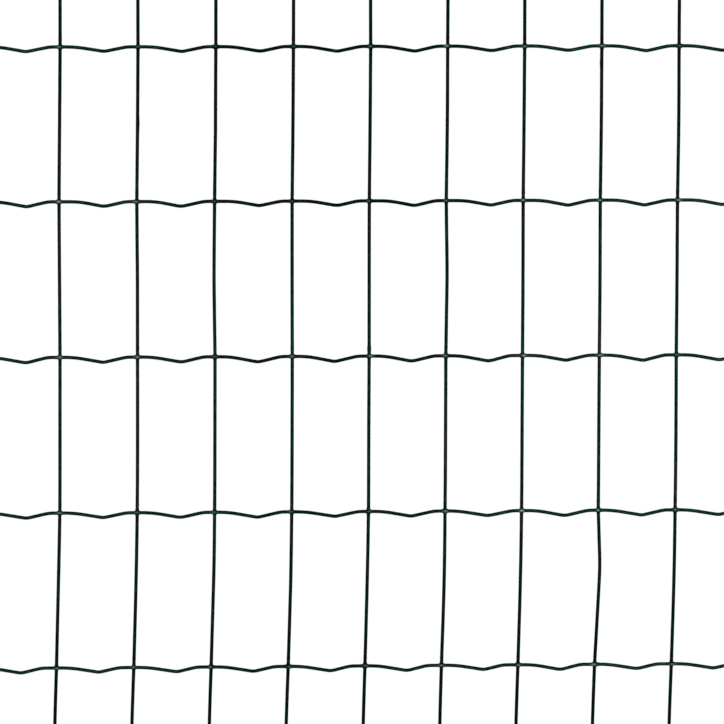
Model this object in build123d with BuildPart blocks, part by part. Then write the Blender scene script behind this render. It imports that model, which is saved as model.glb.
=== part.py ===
"""A flat sheet of welded wire fencing, plastic coated, lying on the ground.

Straight cross wires lie side by side on the ground along Y. Crimped line wires
lie over them along X and are welded to them at every crossing, so that the
sheet is one piece. Each line wire runs straight over a cross wire, falls slowly
to a trough in the plane of the sheet, and climbs back a little faster before
the next one.

Millimetres, with +Z up and the origin under the middle of the sheet.
"""

import os

from build123d import *

# The sheet, as it is cut from the stock
sheet_length = 2000.0
line_wire_count = 9
line_wire_pitch = 101.6
cross_wire_pitch = 50.5
shortest_line_tail = 5.0
tail_past_crimp = 0.9

# The wire over its coating, and its section, which rests on one of its flats
wire_diameter = 2.3
wire_sides = 8

# How far the two wires sink into each other at a weld
weld_set_down = 0.5

# The crimp of a line wire, from one cross wire to the next
crest_before_wire = 7.5
crest_past_wire = 10.0
crimp_depth = 3.1
trough_share = 0.55

# Places that follow from the sizes above
cross_wire_count = 1 + int((sheet_length - 2 * shortest_line_tail) // cross_wire_pitch)
cross_wire_span = (cross_wire_count - 1) * cross_wire_pitch
line_wire_span = (line_wire_count - 1) * line_wire_pitch
cross_wire_tail = crimp_depth + wire_diameter / 2 + tail_past_crimp
cross_wire_length = line_wire_span + 2 * cross_wire_tail
sagging_span = cross_wire_pitch - crest_before_wire - crest_past_wire
trough_past_wire = crest_past_wire + trough_share * sagging_span
cross_wire_height = wire_diameter / 2
line_wire_height = cross_wire_height + wire_diameter - weld_set_down


def crimp_points():
    """Corners of a line wire's route, with the crests at Y 0."""
    points = [(-sheet_length / 2, 0)]
    for number in range(cross_wire_count - 1):
        wire = number * cross_wire_pitch - cross_wire_span / 2
        points.append((wire + crest_past_wire, 0))
        points.append((wire + trough_past_wire, -crimp_depth))
        points.append((wire + cross_wire_pitch - crest_before_wire, 0))
    points.append((sheet_length / 2, 0))
    return points


def wire_section():
    """The wire's section, standing on a flat side."""
    RegularPolygon(
        radius=wire_diameter / 2,
        side_count=wire_sides,
        major_radius=False,
        rotation=180 / wire_sides,
    )


# One crimped line wire, on its own axis
with BuildPart() as line_wire:
    with BuildLine():
        route = Polyline(crimp_points())
    with BuildSketch(Plane(origin=route @ 0, x_dir=(0, 1, 0), z_dir=route % 0)):
        wire_section()
    sweep(transition=Transition.RIGHT)

# The whole sheet, with the line wires fused to the cross wires
with BuildPart() as welded_mesh_sheet:
    with BuildSketch(Plane.XZ.offset(cross_wire_length / 2)):
        with Locations((0, cross_wire_height)):
            with GridLocations(cross_wire_pitch, 1, cross_wire_count, 1):
                wire_section()
    extrude(amount=-cross_wire_length)
    with Locations((0, 0, line_wire_height)):
        with GridLocations(1, line_wire_pitch, 1, line_wire_count):
            add(line_wire.part)

welded_mesh_sheet.part.label = "welded_mesh_sheet"

os.makedirs("parts", exist_ok=True)
export_step(
    welded_mesh_sheet.part,
    "parts/welded_mesh_sheet.step",
    write_pcurves=False,
)
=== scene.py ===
"""A flat sheet of welded wire fencing in dark green plastic coat, lying on a pale floor.

Straight cross wires lie on the floor along Y. Crimped line wires lie over them along X,
and the coat runs round every weld in small webs. Every wire is one closed tube, worked
out as whole arrays of rings: wires by rings by places round the ring.
"""

import math

import bpy
import numpy as np
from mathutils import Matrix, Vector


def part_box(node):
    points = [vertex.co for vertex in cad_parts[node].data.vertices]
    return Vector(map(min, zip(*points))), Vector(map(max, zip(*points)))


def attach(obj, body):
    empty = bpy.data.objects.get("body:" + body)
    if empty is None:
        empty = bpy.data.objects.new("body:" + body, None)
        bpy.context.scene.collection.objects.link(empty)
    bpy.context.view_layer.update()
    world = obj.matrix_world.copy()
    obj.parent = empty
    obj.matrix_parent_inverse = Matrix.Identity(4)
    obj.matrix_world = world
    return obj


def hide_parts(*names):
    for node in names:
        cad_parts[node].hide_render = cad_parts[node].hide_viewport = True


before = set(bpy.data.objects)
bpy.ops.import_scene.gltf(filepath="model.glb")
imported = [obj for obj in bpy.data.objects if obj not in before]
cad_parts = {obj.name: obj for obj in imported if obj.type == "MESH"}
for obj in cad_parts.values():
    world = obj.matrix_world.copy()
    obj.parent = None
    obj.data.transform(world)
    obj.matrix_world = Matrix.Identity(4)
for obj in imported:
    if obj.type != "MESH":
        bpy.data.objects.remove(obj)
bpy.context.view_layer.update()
sheet_low, sheet_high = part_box("welded_mesh_sheet")
scene = bpy.context.scene
rng = np.random.default_rng(4107)
mm = 0.001
thousandth = 0.001
full_turn = 2 * math.pi

# The sheet, as its solid has it
cross_wires = 40
line_wires = 9
cross_pitch = 50.5 * mm
line_pitch = 101.6 * mm
wire_radius = 1.15 * mm
axis_gap = 1.8 * mm
cross_height = wire_radius
line_height = wire_radius + axis_gap
middle_cross = (cross_wires - 1) / 2
middle_line = (line_wires - 1) / 2
line_tail = sheet_high.x - middle_cross * cross_pitch
cross_tail = sheet_high.y - middle_line * line_pitch

# The view: nearly square on, tipped a little from the sheet's upper and left edges
view_distance = 2000 * mm
view_width = 473.5 * mm
view_aim = (20.57 * mm, -3.42 * mm, line_height)
view_tilt = math.radians(1.95)
view_yaw = math.radians(1.40)
sensor_width = 36.0

# How a line wire is crimped between two welds
crest_past_weld = 10.6 * mm
crest_before_weld = 7.9 * mm
crimp_depth = 3.2 * mm
trough_past_weld = 28.1 * mm
fall_rounding = 6.0 * mm
trough_rounding = (1.2 * mm, 2.6 * mm)
rise_rounding = 2.6 * mm
# How far each line wire's crimp is shifted, from the lowest wire up, in mm: where it
# starts to fall, its trough, and where it is level again
crimp_shifts = (
    (0.4, 0.3, -0.2),
    (-0.6, -0.2, 0.1),
    (-1.6, -0.3, -1.6),
    (-1.7, 0.3, 0.9),
    (-0.9, 0.3, 0.6),
    (1.9, 1.0, 0.8),
    (-0.2, 0.7, 1.0),
    (0.5, 0.2, 0.4),
    (-0.3, 0.1, -0.4),
)
# How much the crimp strays from mesh to mesh: a share of its depth, and its three places
depth_stray = 0.030
fall_stray = 0.40 * mm
trough_stray = 0.30 * mm
rise_stray = 0.35 * mm

# How far the wires stray from their regular places. The lean of the cross wires: the
# height up the sheet at which its arc and its sag are that large, and its swing
lean_reach = 203.2 * mm
lean_at_reach = 1.87 * mm
lean_sag = 0.92 * mm
lean_swing = 0.77 * mm
# How far round their sines the arc and the sag have come at that height, in radians
arc_turn = 0.8
sag_turn = 1.2
# The wave in the cross wires' spacing: size, length in wires, and the wire where it crests
spacing_wave = 0.20 * mm
spacing_wave_wires = 6.5
spacing_wave_crest = 19
# How far from the sheet's middle the line wires' rise and draw level off
middle_reach = 420 * mm
# By line wire, from the lowest up: rise along X, shift in mm, share of the crimp's depth,
# and how much nearer together it draws the cross wires, in thousandths
line_rises = (0.0037, 0.0039, 0.0040, 0.0036, 0.0036, 0.0037, 0.0039, 0.0038, 0.0036)
line_shifts = (0.20, -0.10, 0.16, 0.12, 0.34, 0.14, -0.86, 0.15, -0.20)
line_depths = (1.00, 0.98, 0.98, 1.03, 1.08, 0.97, 0.97, 1.02, 1.00)
line_draws = (0.8, 0.8, 0.8, 1.8, 1.8, -0.2, 0.8, 0.8, 0.8)
# The cross wires' bows between welds: usual size of a small drawn one, and how rounded the
# peak is of a bow and of a sharper bend
loose_bow = 0.11 * mm
bow_rounding = 1.0
bend_rounding = 0.3
# The bow that all cross wires share in each row of meshes, from the lowest up, in mm
row_bows = (0.10, -0.42, 0.18, -0.18, 0.16, 0.23, -0.39, 0.10)
# Cross wires with a bend of their own: wire, mesh, where in the mesh it peaks, mm it bends
bent_wires = (
    (21, 4, 0.53, 0.75),
    (23, 2, 0.63, 1.72),
    (18, 2, 0.66, 0.24),
    (19, 2, 0.55, 0.22),
    (18, 4, 0.50, -0.42),
    (18, 5, 0.45, 0.30),
    (17, 4, 0.50, 0.25),
    (4, 1, 0.40, -0.90),
    (9, 6, 0.60, 0.80),
    (30, 5, 0.35, -0.70),
    (35, 2, 0.55, 1.10),
)
# How far along a mesh, as a share of it, a wire's direction is taken from
slope_step = 0.002

# The coat's webs at the welds, and how they vary
web_radius = 2.0 * mm
web_spread = 0.10
# The rays on which the coat is found: first step as a share of the wire's radius, last one
# as a share of the way to the other axis, how many, and the least rise between two
ray_start = 0.8
ray_end = 0.9
ray_steps = 25
least_rise = 1e-9
# How deep the coat steps in under the other wire's coat, and over what overlap
tuck_depth = 0.06 * mm
tuck_overlap = 0.2 * mm
# The flats on the side away from the welds: depth, length, how soft their edge is, and how
# much a ray has to point away from the weld to be pressed
pressed_depth = 0.14 * mm
pressed_length = 2.0 * mm
pressed_edge = 0.05 * mm
least_away = 0.05
# How the coat's thickness wanders: length in mm, size and turns round the wire of each
# sine, the height of a size of 1, and how much the lengths vary
swell_sines = ((70, 0.5, 0), (31, 0.45, 1), (19, 0.4, 0), (13, 0.3, 2), (9, 0.2, 1))
swell_height = 0.011 * wire_radius
swell_stretch = 0.1
# The beads and necks of the cross wires: distance from the weld, length, height or depth,
# and how strong they are on the upper and the lower side of a weld
bead_place, bead_length, bead_height = 4.3 * mm, 1.1 * mm, 0.08 * mm
neck_place, neck_length, neck_depth = 2.8 * mm, 0.6 * mm, 0.07 * mm
strength_above = (0.4, 1.5)
strength_below = (0.0, 0.7)
# Drops in the coat of cross wires: wire, place up the sheet, way round, height, size
coat_drops = (
    (17, 151 * mm, 0.5, 0.34 * mm, 0.9 * mm),
    (23, 192 * mm, 0.05, 0.26 * mm, 0.9 * mm),
    (20, 4.6 * mm, 0.02, 0.38 * mm, 1.1 * mm),
    (20, 4.6 * mm, 0.48, 0.38 * mm, 1.1 * mm),
)
# The drops that are drawn: how many, and their heights and sizes in mm
drop_count = 46
drop_heights = (0.08, 0.22)
drop_sizes = (0.6, 1.1)

# Pale spots on top of the welds, partly rubbed coat and partly painted highlight: usual
# strength and how it varies, length, stray along the wire, and tip towards the upper edge
# and how that varies
rub_and_highlight_strength = 0.34
rub_and_highlight_spread = 0.25
rub_and_highlight_length = (0.9 * mm, 1.6 * mm)
rub_and_highlight_shift = 0.50 * mm
rub_and_highlight_lean = math.radians(4)
rub_and_highlight_tip = math.radians(13)
# The two slow waves in how strong the weld spots' painted highlight is, over the cross
# wires and over the line wires: size, length in wires, and the wire where it crests
painted_highlight_waves = ((0.63, 7.6, 22.3), (0.37, 6.0, 3.6))
# The welds whose spots are strongest, in painted highlight and rubbing: cross wire, line
# wire, strength
bright_welds = ((16, 5, 0.80), (16, 4, 0.80), (17, 4, 0.65), (22, 3, 1.00))

# The cut ends: how far a tail may be shorter, and the slant of the cut in degrees
tail_stray = 0.7 * mm
cut_slants = (4, 17)
# The rings at an end, from the steel core out over the coat's edge: how far in from the
# cut in mm, share of the radius, and share of the cut's slant. The tail's other rings stay
# a little further in.
end_places = (0, 0, 0, 0.12, 0.9)
end_girths = (0.40, 0.82, 0.95, 0.995, 1)
end_slants = (1, 1, 1, 0.9, 0.3)
end_room = 1.4 * mm

# Grids of the wires: places round a ring, rings in a mesh, how much the rings crowd at its
# welds and in its middle, and the pieces that the wires are shared out among
sides = 16
around = full_turn * np.arange(sides) / sides
line_grid = {"rings": 32, "at_welds": 0.30, "at_middle": 0.55}
cross_grid = {"rings": 28, "at_welds": 0.90, "at_middle": 0.0}
line_pieces = ("line_wires_lower", "line_wires_middle", "line_wires_upper")
cross_pieces = ("cross_wires_left", "cross_wires_right")

# The map of a piece: rows for each wire, where a row starts, how wide it is, how far its
# strip stays off its edges, and the place and scale of the discs of the cut ends
line_rows = 10
cross_rows = 2
row_start = 0.005
row_width = 0.945
row_edge = 0.07
disc_place = 0.983
disc_scale = 0.0072 / wire_radius

# Patterns in the coat: size of the spots, detail and roughness of the noise, and the two
# values of it between which the pattern goes from none to full
patterns = {
    "clouds": (26 * mm, 3.0, 0.5, 0.32, 0.68),
    "mottle": (2.4 * mm, 4.0, 0.6, 0.30, 0.70),
    "grains": (0.55 * mm, 1.0, 0.5, 0.70, 0.80),
    "patches": (9 * mm, 2.0, 0.5, 0.48, 0.66),
    "pores": (0.35 * mm, 1.0, 0.5, 0.24, 0.34),
    "spot_streaks": (0.8 * mm, 3.0, 0.6, 0.25, 0.62),
    "scuffs": (1.6 * mm, 4.0, 0.65, 0.56, 0.72),
    "painted_highlight_streaks": (1.1 * mm, 3.0, 0.6, 0.32, 0.68),
    "painted_highlight_patches": (30 * mm, 3.0, 0.6, 0.32, 0.68),
    "rust": (0.9 * mm, 3.0, 0.5, 0.45, 0.62),
}
# How much mottling there is to the clouds, and how strong the grains are
mottle_share = 0.4
grain_share = 0.12
# The skin: size, detail and roughness of the dimples' noise, depth of the pinholes beside
# theirs, and how strong and how deep it all is
dimple_noise = (1.1 * mm, 2.0, 0.45)
pore_depth = 0.35
skin_strength, skin_depth = 0.6, 0.14 * mm
# How much of a weld spot its streaks leave, and how unevenly the painted highlight along
# the top is broken up in streaks and in patches
least_spot = 0.45
streak_levels = (0.05, 1.95)
patch_levels = (0.50, 1.50)
# How far up a surface has to face, from where the scuffs start and the strip of painted
# highlight along the top starts
scuffs_from = 0.55
painted_highlight_from = 0.92

# The colours and gloss of the coat and of the cut steel
grain_green = (0.030, 0.052, 0.040, 1)
# Pale spots on the welds and scuffs: partly rubbed coat, partly painted highlight
rubbed_and_highlight_green = (0.245, 0.400, 0.335, 1)
# Painted highlight: a paler green along the tops of the wires
painted_highlight_green = (0.0048, 0.0410, 0.0196, 1)
steel_grey = (0.36, 0.36, 0.35, 1)
rust_brown = (0.13, 0.055, 0.025, 1)
coat_roughness = (0.30, 0.38)
rub_and_highlight_roughness = 0.62
steel_roughness = 0.45
coat_ior = 1.115
coat_glint = (0.12, 1.0, 0.56, 1)
# The coat of each kind of wire; it is the same coat, and the cross wires' darker tones are
# painted shade. Its patterns are stretched along the wire. The painted highlight along the
# tops is weakest round a place near the upper edge on the line wires, and strongest across
# the middle on the cross wires.
line_look = {
    "deep": (0.0000, 0.0009, 0.0001, 1),
    "pale": (0.0001, 0.0040, 0.0011, 1),
    "scuffs": 0.10,
    "stretch": (0.3, 1.0, 1.0),
    "painted_highlight_map": {
        "weights": (3.0, 0.9, 0),
        "middle": (0, 250 * mm, 0),
        "reach": (200 * mm, 560 * mm),
        "levels": (0.0, 0.95),
    },
}
# Darker tones than the line wires', as painted shade
cross_look = {
    "deep": (0.0000, 0.0006, 0.0001, 1),
    "pale": (0.0001, 0.0028, 0.0007, 1),
    "scuffs": 0.07,
    "stretch": (1.0, 0.3, 1.0),
    "painted_highlight_map": {
        "weights": (0, 1, 0),
        "middle": (0, -15 * mm, 0),
        "reach": (0, 190 * mm),
        "levels": (0.68, 0.0),
    },
}

# The studio: the floor's half width, its colour under the lamps and the glow that is seen;
# the surround's colour and how much of it lights the sheet; and each lamp's place, size
# and power
floor_half = 40.0
floor_grey = (0.06, 0.06, 0.06, 1)
floor_glow = 0.965
world_white = (1, 1, 1, 1)
world_light = 0.16
key_lamp = ((1.0, 0.38, 3.3), (2.4, 1.1), 108)
fill_lamp = ((-3.2, 0.4, 2.2), (2.0, 2.0), 8)


def add_camera():
    """Stands the camera above its aim, tipped a little from the upper and the left edge."""
    data = bpy.data.cameras.new("camera")
    data.sensor_width = sensor_width
    data.lens = sensor_width * view_distance / view_width
    camera = bpy.data.objects.new("camera", data)
    scene.collection.objects.link(camera)
    camera.rotation_euler = (-view_tilt, -view_yaw, 0)
    level = view_distance * math.cos(view_tilt)
    camera.location = (
        view_aim[0] - level * math.sin(view_yaw),
        view_aim[1] + view_distance * math.sin(view_tilt),
        view_aim[2] + level * math.cos(view_yaw),
    )
    scene.camera = camera


# Where the wires run


def lean(y):
    """Sideways lean that all cross wires share: a slow arc up the sheet, less a swing of
    one turn, less a sag on both sides of the middle, by the cube of a sine."""
    n = y / lean_reach
    arc = lean_at_reach * np.sin(arc_turn * n) / math.sin(arc_turn)
    sag = lean_sag * np.abs(np.sin(sag_turn * n) / math.sin(sag_turn)) ** 3
    return arc - lean_swing * np.sin(math.pi * n) - sag


def from_middle(place):
    """A distance from the sheet's middle that levels off past its middle stretch."""
    return middle_reach * np.tanh(place / middle_reach)


def cross_wire_x(wire, y):
    """X of a cross wire's axis at height y up the sheet, before its own bows: its regular
    place, the wave in the spacing, the lean, and the draw of the line wires next to y."""
    regular = (wire - middle_cross) * cross_pitch
    turn = full_turn * (wire - spacing_wave_crest) / spacing_wave_wires
    lines = (np.arange(line_wires) - middle_line) * line_pitch
    draw = thousandth * np.interp(y, lines, line_draws)
    return regular + spacing_wave * np.cos(turn) + lean(y) - draw * from_middle(regular)


def line_wire_y(wire, x):
    """Y of a line wire's crests: its regular place, its shift, and a rise along X that
    levels off away from the middle."""
    regular = (wire - middle_line) * line_pitch
    shift = np.array(line_shifts)[wire] * mm
    return regular + shift + np.array(line_rises)[wire] * from_middle(x)


def weld_places():
    """X and Y of every weld, cross wires by line wires, from two rounds of each wire's
    place on the other."""
    cross = np.arange(cross_wires)[:, None]
    line = np.arange(line_wires)[None, :]
    y = line_wire_y(line, (cross - middle_cross) * cross_pitch)
    x = cross_wire_x(cross, y)
    y = line_wire_y(line, x)
    return cross_wire_x(cross, y), y


def ramp(distance, rounding):
    """0 before the bend, the plain distance past it, and a parabola through the bend."""
    bent = (distance + rounding) ** 2 / (4 * rounding)
    return np.where(distance < -rounding, 0, np.where(distance > rounding, distance, bent))


def crimp_drop(past, depth, fall, trough, rise, rounding):
    """How far a line wire has dropped, a distance past the last weld: three rounded bends,
    down at fall, up at the trough and level again at rise."""
    falling = depth / (trough - fall)
    climbing = depth / (rise - trough)
    return (
        falling * ramp(past - fall, fall_rounding)
        - (falling + climbing) * ramp(past - trough, rounding)
        + climbing * ramp(past - rise, rise_rounding)
    )


def along_meshes(share, marks):
    """Splits shares, counted in meshes from the first weld, into the mesh and the part
    of it, and gives the place between the marks of its two welds."""
    mesh = np.clip(np.floor(share).astype(int), 0, marks.shape[1] - 2)
    part = share - mesh
    first = np.take_along_axis(marks, mesh, axis=1)
    last = np.take_along_axis(marks, mesh + 1, axis=1)
    return mesh, part, first + (last - first) * part


def line_path(share):
    """Axis of every line wire at those shares, wires by rings by XYZ."""
    mesh, part, x = along_meshes(share, weld_x.T)
    y = line_wire_y(np.arange(line_wires)[:, None], x)
    bends = (np.take_along_axis(drawn, mesh, axis=1) for drawn in crimps)
    y = y - crimp_drop(part * cross_pitch, *bends)
    return np.stack([x, y, np.full_like(x, line_height)], axis=-1)


def cross_path(share):
    """Axis of every cross wire at those shares. A bow between two welds is two straight
    runs that meet in a parabola at its peak, as high as it would be with no rounding."""
    mesh, part, y = along_meshes(share, weld_y)
    size, peak, rounding = (np.take_along_axis(drawn, mesh, axis=1) for drawn in bows)
    x = cross_wire_x(np.arange(cross_wires)[:, None], y)
    part = np.clip(part, 0, 1)
    bow = soft_min(part / peak, (1 - part) / (1 - peak), rounding) / (1 - rounding / 4)
    x = x + size * bow
    return np.stack([x, y, np.full_like(x, cross_height)], axis=-1)


def drawn_crimps():
    """Depth, fall, trough, rise and the trough's rounding of the crimp in every mesh of
    every line wire, each a little different."""
    size = (line_wires, cross_wires - 1)
    shifts = np.array(crimp_shifts).T[:, :, None] * mm
    depth = crimp_depth * (1 + depth_stray * rng.standard_normal(size))
    depth = depth * np.array(line_depths)[:, None]
    level = cross_pitch - crest_before_weld
    fall = crest_past_weld + shifts[0] + fall_stray * rng.standard_normal(size)
    rise = level + shifts[2] + rise_stray * rng.standard_normal(size)
    trough = trough_past_weld + shifts[1] + trough_stray * rng.standard_normal(size)
    return depth, fall, trough, rise, rng.uniform(*trough_rounding, size)


def drawn_bows():
    """Size, peak and rounding of the bow in every mesh of every cross wire: the row's bow
    and a small one drawn, and the few that are bent more and sharper set one by one."""
    size = loose_bow * rng.standard_normal((cross_wires, line_wires - 1))
    size = size + np.array(row_bows) * mm
    peak = np.full_like(size, 0.5)
    rounding = np.full_like(size, bow_rounding)
    for wire, mesh, place, reach in bent_wires:
        size[wire, mesh] = reach * mm
        peak[wire, mesh] = place
        rounding[wire, mesh] = bend_rounding
    return size, peak, rounding


# How thick the coat is


def soft_min(first, second, width):
    """The lesser of two, with a parabola of that width where they meet."""
    near = np.clip(width - np.abs(first - second), 0, None) / width
    return np.minimum(first, second) - near**2 * width / 4


def coat_reach(own, from_weld, towards, web):
    """Distance from a wire's axis out to its coat, near a weld. On a ray that points that
    much towards the other wire's axis, it is where the soft least of the distances to
    both wires' surfaces turns positive, or at most nine tenths of the way to that axis.
    Where the other wire is nearer, the coat steps in a little, under its coat."""
    steps = np.linspace(ray_start * wire_radius, ray_end * axis_gap, ray_steps)
    beyond = np.hypot(from_weld[..., None], axis_gap - steps * towards[..., None])
    outside = soft_min(steps - own[..., None], beyond - wire_radius, web[..., None])
    found = outside >= 0
    last = np.where(found.any(-1), found.argmax(-1), len(steps) - 1)
    last = np.maximum(last, 1)
    low = np.take_along_axis(outside, last[..., None] - 1, axis=-1)[..., 0]
    high = np.take_along_axis(outside, last[..., None], axis=-1)[..., 0]
    part = np.clip(-low / np.maximum(high - low, least_rise), 0, 1)
    reach = steps[last - 1] + (steps[last] - steps[last - 1]) * part
    other = np.hypot(from_weld, axis_gap - reach * towards) - wire_radius
    covered = np.clip((reach - own - other) / tuck_overlap, 0, 1)
    return reach - tuck_depth * covered


def pressed(reach, from_weld, away):
    """Flattens the coat on the side away from the weld: no further out than a level that
    dips at the weld by a parabola, with the edge of the flat softened."""
    dip = pressed_depth * np.clip(1 - (from_weld / pressed_length) ** 2, 0, None)
    level = (wire_radius - dip) / np.maximum(away, least_away)
    flat = soft_min(reach, level, pressed_edge)
    return np.where((dip > 0) & (away > least_away), flat, reach)


def coat_swell(share, pitch):
    """How the coat's thickness wanders along and round each wire: five sines of length
    9 to 70 mm, each with its own start, of which three also turn round the wire."""
    wires = share.shape[0]
    total = np.zeros(share.shape + (sides,))
    for length, size, turns in swell_sines:
        start = full_turn * rng.random((wires, 1, 1))
        stretch = 1 + swell_stretch * rng.standard_normal((wires, 1, 1))
        along = full_turn * share[..., None] * pitch / (length * mm * stretch)
        total += size * np.sin(along + turns * around + start)
    return swell_height * total


def welded_coat(own, from_weld, near, towards, welds):
    """Reach of the coat with its webs at the welds, each web a little different, and its
    flats. Own is its reach away from the welds, and towards how much each place round the
    ring points to the other wires."""
    web = web_radius * (1 + web_spread * rng.standard_normal(welds))
    web = np.take_along_axis(web, near, axis=1)[..., None]
    reach = coat_reach(own, from_weld[..., None], towards, web)
    return pressed(reach, from_weld[..., None], -towards)


# Rings and meshes


def ring_shares(wires, meshes, pitch, tail, rings, at_welds, at_middle):
    """Where the rings stand, counted in meshes from the first weld, wires by rings. In a
    mesh they go by a share less a sine of one turn and a sine of two, which crowds them at
    the welds and in the middle. Each end has three rings in the plane of the cut, from
    inside the steel core out to the coat's edge, and two more that round that edge. The
    rings' shares of the radius and of the cut's slant come with it."""
    even = np.arange(rings) / rings
    eased = even - at_welds * np.sin(full_turn * even) / full_turn
    eased = eased - at_middle * np.sin(2 * full_turn * even) / (2 * full_turn)
    stub = eased[(eased > 0) & (eased < (tail - end_room) / pitch)]
    between = (np.arange(meshes)[:, None] + eased).ravel()
    body = np.concatenate([-stub[::-1], between, [meshes], meshes + stub])
    cap = np.array(end_places) * mm / pitch
    ends = (tail - tail_stray * rng.random((2, wires, 1))) / pitch
    share = np.concatenate(
        [cap - ends[0], np.tile(body, (wires, 1)), meshes + ends[1] - cap[::-1]], axis=1
    )
    count = len(cap)
    girth, slant = np.ones(share.shape[1]), np.zeros(share.shape[1])
    girth[:count] = girth[: -count - 1 : -1] = end_girths
    slant[:count] = slant[: -count - 1 : -1] = end_slants
    return share, girth[None, :, None], slant[None, :, None]


def ways(path, share):
    """Unit steps along each wire at its rings, and the level ones across it."""
    along = path(share + slope_step) - path(share - slope_step)
    along /= np.linalg.norm(along, axis=-1, keepdims=True)
    across = np.stack([-along[..., 1], along[..., 0], np.zeros(share.shape)], axis=-1)
    return along, across


def tube_points(path, share, reach, slant):
    """Points of the wires' surfaces, wires by rings by places round: the axis, plus the
    reach times the cosine of the turn across and its sine up. At the ends each ring is
    slid along by its share of the slant of the cut."""
    wires = share.shape[0]
    along, across = ways(path, share)
    steepness = np.tan(np.radians(rng.uniform(*cut_slants, (2, wires, 1, 1))))
    heading = full_turn * rng.random((2, wires, 1, 1))
    half = share.shape[1] // 2
    slide = np.empty_like(reach)
    for end, part in enumerate((slice(None, half), slice(half, None))):
        slide[:, part] = steepness[end] * np.cos(around - heading[end]) * reach[:, part]
    slide *= slant
    up = np.array([0.0, 0.0, 1.0])
    outward = np.cos(around)[:, None] * across[:, :, None] + np.sin(around)[:, None] * up
    points = path(share)[:, :, None] + reach[..., None] * outward
    return points + slide[..., None] * along[:, :, None]


def strip_map(along, wires, rows, reach):
    """The map of the wires' surfaces, in the order of their faces' corners. Each wire is
    unrolled into rows one above the other, and its two cut ends lie as discs at the right
    end of its rows."""
    rings, total = len(along), wires * rows
    ring, place = np.meshgrid(np.arange(rings - 1), np.arange(sides), indexing="ij")
    corner_ring = np.stack([ring, ring, ring + 1, ring + 1], axis=-1)
    corner_place = np.stack([place, place + 1, place + 1, place], axis=-1)
    middle = (along[ring] + along[ring + 1]) / 2
    row = np.clip(np.floor(middle / along[-1] * rows), 0, rows - 1)[..., None]
    u = row_start + row_width * (along[corner_ring] / along[-1] * rows - row)
    v = (row + row_edge + (1 - 2 * row_edge) * corner_place / sides) / total

    def on_disc(end, girth, place):
        """A cut end's points on the map: a circle's cosine and sine round its disc."""
        radius, angle = disc_scale * girth, full_turn * place / sides
        return disc_place + radius * np.cos(angle), (end + 0.5) / total + radius * np.sin(angle)

    girth = reach[0, :, 0][corner_ring]
    for end, inside in enumerate((corner_ring.max(-1) <= 2, corner_ring.min(-1) >= rings - 3)):
        disc_u, disc_v = on_disc(end, girth, corner_place)
        u = np.where(inside[..., None], disc_u, u)
        v = np.where(inside[..., None], disc_v, v)
    walls = np.stack([u, v], axis=-1).reshape(-1, 2)
    caps = []
    rim = np.arange(sides)
    for end, turns in enumerate(([rim + 1, rim], [rim, rim + 1])):
        edge = np.stack(on_disc(end, reach[0, -end, 0], np.stack(turns, axis=-1)), axis=-1)
        hub = np.broadcast_to([disc_place, (end + 0.5) / total], (sides, 1, 2))
        caps.append(np.concatenate([hub, edge], axis=1).reshape(-1, 2))
    one = np.concatenate([walls, *caps])
    lift = np.stack([np.zeros(wires), np.arange(wires) * rows / total], axis=-1)
    return (one[None] + lift[:, None]).reshape(-1, 2)


def wire_faces(wires, rings):
    """Faces of the wires, turned outwards: quads between rings, and a fan at each end. The
    cut ends' two flat rings of quads aren't shaded smooth."""
    ring, place = np.meshgrid(np.arange(rings - 1), np.arange(sides), indexing="ij")
    here, after = ring * sides + place, ring * sides + (place + 1) % sides
    quads = np.stack([here, after, after + sides, here + sides], axis=-1).reshape(-1, 4)
    rim, last = np.arange(sides), (rings - 1) * sides
    rim_after = (rim + 1) % sides
    first_hub = np.full(sides, rings * sides)
    fans = np.concatenate(
        [
            np.stack([first_hub, rim_after, rim], axis=-1),
            np.stack([first_hub + 1, last + rim, last + rim_after], axis=-1),
        ]
    )
    per_wire = rings * sides + 2
    faces = []
    for wire in range(wires):
        faces += (quads + wire * per_wire).tolist() + (fans + wire * per_wire).tolist()
    smooth = np.ones(len(quads) + len(fans), bool)
    smooth[: 2 * sides] = smooth[len(quads) - 2 * sides :] = False
    return faces, np.tile(smooth, wires)


def lay_piece(name, points, masks, along, reach, rows, material):
    """One mesh of several wires: their rings, a hub point at each cut end, the masks that
    the coat's material reads, and the map of the surface."""
    wires, rings = points.shape[:2]
    hubs = np.stack([points[:, 0].mean(1), points[:, -1].mean(1)], axis=1)
    corners = np.concatenate([points.reshape(wires, -1, 3), hubs], axis=1).reshape(-1, 3)
    faces, smooth = wire_faces(wires, rings)
    mesh = bpy.data.meshes.new(name)
    mesh.from_pydata(corners.tolist(), [], faces)
    mesh.polygons.foreach_set("use_smooth", smooth)
    for mask, values in masks.items():
        flat = values.reshape(wires, -1)
        at_hubs = 1.0 if mask == "steel" else 0.0
        flat = np.concatenate([flat, np.full((wires, 2), at_hubs)], axis=1)
        layer = mesh.attributes.new(mask, "FLOAT", "POINT")
        layer.data.foreach_set("value", flat.astype(np.float32).ravel())
    unrolled = strip_map(along, wires, rows, reach)
    layer = mesh.uv_layers.new(name="OFBake")
    layer.uv.foreach_set("vector", unrolled.astype(np.float32).ravel())
    mesh.materials.append(material)
    mesh.update()
    piece = bpy.data.objects.new(name, mesh)
    scene.collection.objects.link(piece)
    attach(piece, "root")
    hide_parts("welded_mesh_sheet")


def lay_pieces(names, points, masks, along, reach, rows, material):
    """The wires of one kind, shared out among pieces of those names."""
    count = len(points) // len(names)
    for number, name in enumerate(names):
        part = slice(number * count, (number + 1) * count)
        own_masks = {mask: values[part] for mask, values in masks.items()}
        lay_piece(name, points[part], own_masks, along, reach[part], rows, material)


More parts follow.
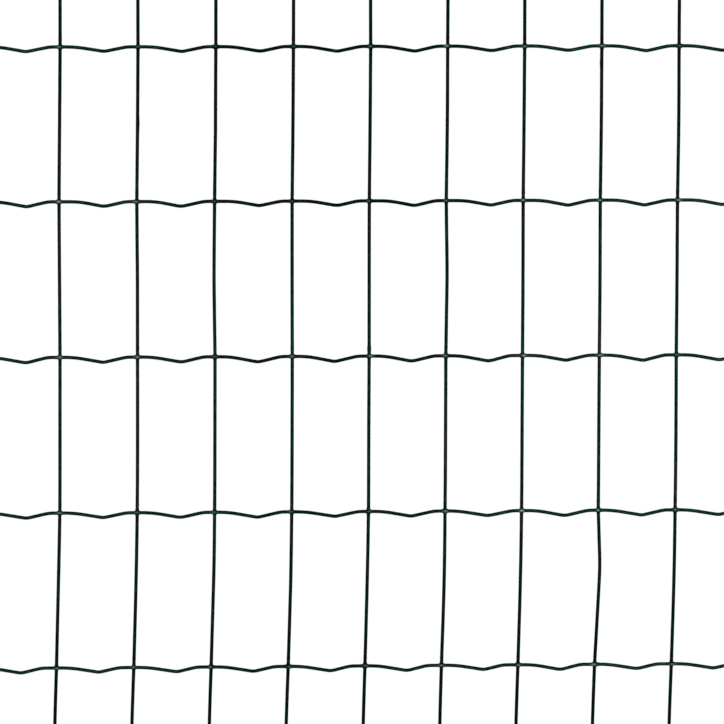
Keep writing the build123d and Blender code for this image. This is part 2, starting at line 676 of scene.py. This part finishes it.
def nearest_weld(path, share, welds_x, welds_y):
    """How far each ring is from the nearest weld along the wire, with its sign, and which
    weld that is."""
    near = np.clip(np.rint(share).astype(int), 0, welds_x.shape[1] - 1)
    axis = path(share)
    x = axis[..., 0] - np.take_along_axis(welds_x, near, axis=1)
    y = axis[..., 1] - np.take_along_axis(welds_y, near, axis=1)
    return np.copysign(np.hypot(x, y), x + y), near


def steel_mask(share):
    """1 inside the steel core of a cut end, 0 over the coat, 0.5 on the line between."""
    steel = np.zeros(share.shape[1])
    steel[:2] = steel[:-3:-1] = 1.0, 0.5
    return np.broadcast_to(steel[None, :, None], share.shape + (sides,))


def rubbed_and_highlight_spots(from_weld, near):
    """Strength of the pale spot on top of every weld, partly rubbed coat, partly painted highlight:
    a round spot that falls off with the square of the distance along the wire and the cube of
    the turn from its middle. Its strength goes up and down in two slow waves over the sheet.
    Each has its own strength, length, shift along the wire and tip to the side, and a few are set
    one by one."""
    size = (line_wires, cross_wires)
    wires = (np.arange(cross_wires), np.arange(line_wires)[:, None])
    waves = sum(
        rise * np.cos(full_turn * (wire - crest) / length)
        for wire, (rise, length, crest) in zip(wires, painted_highlight_waves)
    )
    strength = rub_and_highlight_strength * np.exp(waves + rub_and_highlight_spread * rng.standard_normal(size))
    length = rng.uniform(*rub_and_highlight_length, size)
    shift = rub_and_highlight_shift * rng.standard_normal(size)
    tip = rub_and_highlight_lean + rub_and_highlight_tip * rng.standard_normal(size)
    for cross, line, most in bright_welds:
        strength[line, cross], length[line, cross] = most, sum(rub_and_highlight_length) / 2
        shift[line, cross], tip[line, cross] = 0, rub_and_highlight_lean
    drawn = (strength, length, shift, tip)
    strength, length, shift, tip = (
        np.take_along_axis(values, near, axis=1)[..., None] for values in drawn
    )
    along = np.exp(-(((from_weld[..., None] - shift) / length) ** 2))
    return np.minimum(strength, 1) * along * np.clip(np.sin(around + tip), 0, 1) ** 3


def make_line_wires(material):
    """The crimped line wires, with flats pressed on top of the welds and pale spots there,
    partly rubbed coat and partly painted highlight.
    """
    share, girth, slant = ring_shares(
        line_wires, cross_wires - 1, cross_pitch, line_tail, **line_grid
    )
    from_weld, near = nearest_weld(line_path, share, weld_x.T, weld_y.T)
    own = wire_radius + coat_swell(share, cross_pitch)
    down = -np.sin(around)
    reach = welded_coat(own, from_weld, near, down, (line_wires, cross_wires)) * girth
    points = tube_points(line_path, share, reach, slant)
    masks = {"rub_and_highlight": rubbed_and_highlight_spots(from_weld, near), "steel": steel_mask(share)}
    along = (share[0] - share[0, 0]) * cross_pitch
    lay_pieces(line_pieces, points, masks, along, reach, line_rows, material)


def make_cross_wires(material):
    """The straight cross wires, flattened underneath at the welds and where they rest on
    the floor, with the coat's necks and beads beside the webs and a few drops."""
    share, girth, slant = ring_shares(
        cross_wires, line_wires - 1, line_pitch, cross_tail, **cross_grid
    )
    from_weld, near = nearest_weld(cross_path, share, weld_x, weld_y)
    own = wire_radius + coat_swell(share, line_pitch)
    above = rng.uniform(*strength_above, (cross_wires, line_wires))
    below = rng.uniform(*strength_below, (cross_wires, line_wires))
    strength = np.where(
        from_weld > 0,
        np.take_along_axis(above, near, axis=1),
        np.take_along_axis(below, near, axis=1),
    )
    distance = np.abs(from_weld)
    bead = bead_height * np.exp(-(((distance - bead_place) / bead_length) ** 2))
    neck = neck_depth * np.exp(-(((distance - neck_place) / neck_length) ** 2))
    own = own + (strength * (bead - neck))[..., None] + drops(share)
    up = np.sin(around)
    reach = welded_coat(own, from_weld, near, up, (cross_wires, line_wires)) * girth
    points = tube_points(cross_path, share, reach, slant)
    points[..., 2] = np.maximum(points[..., 2], 0)
    masks = {"rub_and_highlight": np.zeros_like(reach), "steel": steel_mask(share)}
    along = (share[0] - share[0, 0]) * line_pitch
    lay_pieces(cross_pieces, points, masks, along, reach, cross_rows, material)


def drops(share):
    """Small drops that set in the coat: round bumps that fall off with the square of the
    distance over the surface. A few are placed one by one, and the others drawn."""
    bumps = np.zeros(share.shape + (sides,))
    y = cross_path(share)[..., 1]
    drawn = zip(
        rng.integers(0, cross_wires, drop_count),
        rng.uniform(sheet_low.y, sheet_high.y, drop_count),
        rng.uniform(0, 1, drop_count),
        rng.uniform(*drop_heights, drop_count) * mm,
        rng.uniform(*drop_sizes, drop_count) * mm,
    )
    for wire, place, way, height, size in (*coat_drops, *drawn):
        arc = (around - full_turn * way + math.pi) % full_turn - math.pi
        gap = ((y[wire][:, None] - place) ** 2 + (arc * wire_radius) ** 2) / size**2
        bumps[wire] += height * np.exp(-gap)
    return bumps


# Finishes


def node(tree, kind, feeds=None, **settings):
    """Adds a node, sets its properties, and feeds its inputs with links or plain values."""
    made = tree.nodes.new(kind)
    for name, value in settings.items():
        setattr(made, name, value)
    for socket, source in (feeds or {}).items():
        if isinstance(source, bpy.types.NodeSocket):
            tree.links.new(source, made.inputs[socket])
        else:
            made.inputs[socket].default_value = source
    return made


def math_node(tree, operation, first, second=0.0, clamp=False):
    """A sum, product or other result of two numbers."""
    feeds = {0: first, 1: second}
    return node(tree, "ShaderNodeMath", feeds, operation=operation, use_clamp=clamp).outputs[0]


def mix_colour(tree, share, first, second):
    """The first colour, with that share of the second."""
    feeds = {0: share, 6: first, 7: second}
    return node(tree, "ShaderNodeMix", feeds, data_type="RGBA").outputs[2]


def mix_value(tree, share, first, second):
    """The first number, with that share of the second."""
    feeds = {0: share, 2: first, 3: second}
    return node(tree, "ShaderNodeMix", feeds, data_type="FLOAT").outputs[0]


def noise(tree, place, size, detail, roughness):
    """Noise whose spots are about that size across, in metres."""
    feeds = {"Vector": place, "Scale": 1 / size, "Detail": detail, "Roughness": roughness}
    return node(tree, "ShaderNodeTexNoise", feeds).outputs["Fac"]


def spread(tree, value, low, high, to_low=0.0, to_high=1.0):
    """Maps a number from one stretch to another, and stops at its ends."""
    feeds = {"Value": value, "From Min": low, "From Max": high, "To Min": to_low, "To Max": to_high}
    return node(tree, "ShaderNodeMapRange", feeds).outputs["Result"]


def pattern(tree, place, name, to_low=0.0, to_high=1.0):
    """One of the named patterns, at a low level where there is none and a high one where
    it is full."""
    size, detail, roughness, low, high = patterns[name]
    return spread(tree, noise(tree, place, size, detail, roughness), low, high, to_low, to_high)


def new_group(name, inputs, outputs):
    """A shader node group with those inputs and outputs, its tree and its two end nodes."""
    tree = bpy.data.node_groups.new(name, "ShaderNodeTree")
    for label, kind in inputs:
        tree.interface.new_socket(label, in_out="INPUT", socket_type=kind)
    for label, kind in outputs:
        tree.interface.new_socket(label, in_out="OUTPUT", socket_type=kind)
    return tree, tree.nodes.new("NodeGroupInput"), tree.nodes.new("NodeGroupOutput")


def coat_tone_group():
    """Uneven colour of the coat: broad clouds, finer mottling and a few pale grains."""
    tree, given, result = new_group(
        "coat_tone",
        [("Place", "NodeSocketVector")],
        [("Tone", "NodeSocketFloat"), ("Grains", "NodeSocketFloat")],
    )
    place = given.outputs["Place"]
    clouds, mottle = pattern(tree, place, "clouds"), pattern(tree, place, "mottle")
    tree.links.new(mix_value(tree, mottle_share, clouds, mottle), result.inputs["Tone"])
    grains, patches = pattern(tree, place, "grains"), pattern(tree, place, "patches")
    tree.links.new(math_node(tree, "MULTIPLY", grains, patches), result.inputs["Grains"])
    return tree


def coat_skin_group():
    """Height of the coat's skin: the shallow dimples of a dipped coat, and pinholes where
    the pattern of pores drops to none."""
    tree, given, result = new_group(
        "coat_skin", [("Place", "NodeSocketVector")], [("Height", "NodeSocketFloat")]
    )
    place = given.outputs["Place"]
    dimples = noise(tree, place, *dimple_noise)
    pores = math_node(tree, "MULTIPLY", pattern(tree, place, "pores"), pore_depth)
    tree.links.new(math_node(tree, "ADD", dimples, pores), result.inputs["Height"])
    return tree


def rub_and_highlight_group():
    """Where the coat is rubbed, and where highlight is painted on it, with marks that run along
    the wire: the mask of the high spots, partly rubbed and partly painted highlight, broken by
    scuffs; thin scuffs elsewhere on what faces up; and a soft strip of painted highlight along
    the top, uneven in streaks and patches."""
    tree, given, result = new_group(
        "rubbed_coat_and_painted_highlight",
        [
            ("Place", "NodeSocketVector"),
            ("Along", "NodeSocketVector"),
            ("Spot", "NodeSocketFloat"),
            ("Scuffs", "NodeSocketFloat"),
            ("Painted highlight level", "NodeSocketFloat"),
        ],
        [("Rubbed and highlight", "NodeSocketFloat"), ("Painted highlight", "NodeSocketFloat")],
    )
    place, along = given.outputs["Place"], given.outputs["Along"]
    normal = node(tree, "ShaderNodeNewGeometry").outputs["Normal"]
    upward = node(tree, "ShaderNodeSeparateXYZ", {0: normal}).outputs["Z"]

    def product(first, *others):
        """All the numbers multiplied together."""
        for other in others:
            first = math_node(tree, "MULTIPLY", first, other)
        return first

    # The weld spots, partly rubbed coat and partly painted highlight, broken by streaks
    spot = product(given.outputs["Spot"], pattern(tree, along, "spot_streaks", least_spot))
    top = spread(tree, upward, scuffs_from, 1.0)
    scuffs = product(pattern(tree, along, "scuffs"), top, given.outputs["Scuffs"])
    tree.links.new(math_node(tree, "MAXIMUM", spot, scuffs), result.inputs["Rubbed and highlight"])
    # A painted highlight along the tops of the wires, where they face up
    painted_highlight = product(
        spread(tree, upward, painted_highlight_from, 1.0),
        pattern(tree, along, "painted_highlight_streaks", *streak_levels),
        pattern(tree, place, "painted_highlight_patches", *patch_levels),
        given.outputs["Painted highlight level"],
    )
    tree.links.new(painted_highlight, result.inputs["Painted highlight"])
    return tree


def painted_highlight_level(tree, place, weights, middle, reach, levels):
    """How strong the painted highlight along the tops is over the sheet. It changes evenly with
    the distance from one place, to which the ways along X and Y add by their weights."""
    weighted = node(tree, "ShaderNodeVectorMath", {0: place, 1: weights}, operation="MULTIPLY")
    centre = [weight * part for weight, part in zip(weights, middle)]
    feeds = {0: weighted.outputs["Vector"], 1: centre}
    away = node(tree, "ShaderNodeVectorMath", feeds, operation="DISTANCE").outputs["Value"]
    return spread(tree, away, *reach, *levels)


def coat_material(name, groups, deep, pale, scuffs, stretch, painted_highlight_map):
    """The plastic coat: dark green between two tones, paler along the tops where highlight is
    painted and on the weld spots, which are partly rubbed and partly painted highlight, and
    bare grey steel with a little rust on the cores of the cut ends. Stretch says which way the
    wires run, as the share by which it shortens the pattern's scale."""
    material = bpy.data.materials.new(name)
    material.use_nodes = True
    tree = material.node_tree
    shader = tree.nodes["Principled BSDF"]
    place = node(tree, "ShaderNodeTexCoord").outputs["Object"]
    along = node(tree, "ShaderNodeMapping", {"Vector": place, "Scale": stretch}).outputs["Vector"]
    spot, steel = (
        node(tree, "ShaderNodeAttribute", attribute_name=mask).outputs["Fac"]
        for mask in ("rub_and_highlight", "steel")
    )
    steel = math_node(tree, "GREATER_THAN", steel, 0.5)
    tone = node(tree, "ShaderNodeGroup", {"Place": place}, node_tree=groups["tone"]).outputs
    skin = node(tree, "ShaderNodeGroup", {"Place": place}, node_tree=groups["skin"]).outputs
    feeds = {"Place": place, "Along": along, "Spot": spot, "Scuffs": scuffs}
    feeds["Painted highlight level"] = painted_highlight_level(tree, place, **painted_highlight_map)
    rub_and_highlight = node(tree, "ShaderNodeGroup", feeds, node_tree=groups["rub_and_highlight"]).outputs

    grains = math_node(tree, "MULTIPLY", tone["Grains"], grain_share)
    coat = mix_colour(tree, tone["Tone"], deep, pale)
    # Painted highlight along the tops
    coat = mix_colour(tree, rub_and_highlight["Painted highlight"], coat, painted_highlight_green)
    coat = mix_colour(tree, grains, coat, grain_green)
    # Weld spots and scuffs: partly rubbed coat, partly painted highlight
    coat = mix_colour(tree, rub_and_highlight["Rubbed and highlight"], coat, rubbed_and_highlight_green)
    core = mix_colour(tree, pattern(tree, place, "rust"), steel_grey, rust_brown)
    tree.links.new(mix_colour(tree, steel, coat, core), shader.inputs["Base Color"])

    rough = mix_value(tree, tone["Tone"], *coat_roughness)
    rough = mix_value(tree, rub_and_highlight["Rubbed and highlight"], rough, rub_and_highlight_roughness)
    rough = mix_value(tree, steel, rough, steel_roughness)
    tree.links.new(rough, shader.inputs["Roughness"])
    feeds = {"Height": skin["Height"], "Strength": skin_strength, "Distance": skin_depth}
    tree.links.new(node(tree, "ShaderNodeBump", feeds).outputs["Normal"], shader.inputs["Normal"])
    shader.inputs["IOR"].default_value = coat_ior
    shader.inputs["Specular Tint"].default_value = coat_glint
    return material


def seen_mask(tree):
    """1 for rays from the camera, in reflections and through glass, 0 for the others."""
    path = node(tree, "ShaderNodeLightPath").outputs
    seen = math_node(tree, "ADD", path["Is Camera Ray"], path["Is Glossy Ray"], clamp=True)
    return math_node(tree, "ADD", seen, path["Is Transmission Ray"], clamp=True)


def add_floor():
    """A wide level floor under the sheet: a matt pale surface that takes the shadow, with
    a glow that only what looks at it sees."""
    mesh = bpy.data.meshes.new("floor")
    corners = [(x * floor_half, y * floor_half, 0) for x, y in ((-1, -1), (1, -1), (1, 1), (-1, 1))]
    mesh.from_pydata(corners, [], [(0, 1, 2, 3)])
    material = bpy.data.materials.new("pale_floor")
    material.use_nodes = True
    tree = material.node_tree
    tree.nodes.remove(tree.nodes["Principled BSDF"])
    matt = node(tree, "ShaderNodeBsdfDiffuse", {"Color": floor_grey})
    glow = math_node(tree, "MULTIPLY", seen_mask(tree), floor_glow)
    light = node(tree, "ShaderNodeEmission", {"Strength": glow})
    both = node(tree, "ShaderNodeAddShader", {0: matt.outputs[0], 1: light.outputs[0]})
    tree.links.new(both.outputs[0], tree.nodes["Material Output"].inputs["Surface"])
    mesh.materials.append(material)
    floor = bpy.data.objects.new("floor", mesh)
    scene.collection.objects.link(floor)


def add_world():
    """A plain white surround to look at, and a dimmer one that lights the sheet."""
    world = bpy.data.worlds.new("studio")
    world.use_nodes = True
    tree = world.node_tree
    strength = mix_value(tree, seen_mask(tree), world_light, 1.0)
    tree.nodes["Background"].inputs["Color"].default_value = world_white
    tree.links.new(strength, tree.nodes["Background"].inputs["Strength"])
    scene.world = world


def add_lamp(name, place, size, power):
    """An oblong soft lamp turned to the middle of the view."""
    data = bpy.data.lights.new(name, "AREA")
    data.shape = "RECTANGLE"
    data.size, data.size_y = size
    data.energy = power
    lamp = bpy.data.objects.new(name, data)
    scene.collection.objects.link(lamp)
    lamp.location = place
    x, y, z = (part - aim for part, aim in zip(place, view_aim))
    lamp.rotation_euler = (math.atan2(math.hypot(x, y), z), 0, math.atan2(x, -y))
    lamp.visible_camera = False


add_camera()
weld_x, weld_y = weld_places()
crimps = drawn_crimps()
bows = drawn_bows()
groups = {"tone": coat_tone_group(), "skin": coat_skin_group(), "rub_and_highlight": rub_and_highlight_group()}
make_line_wires(coat_material("line_wire_coat", groups, **line_look))
make_cross_wires(coat_material("cross_wire_coat", groups, **cross_look))
add_floor()
add_world()
add_lamp("key", *key_lamp)
add_lamp("fill", *fill_lamp)
scene.view_settings.view_transform = "Standard"
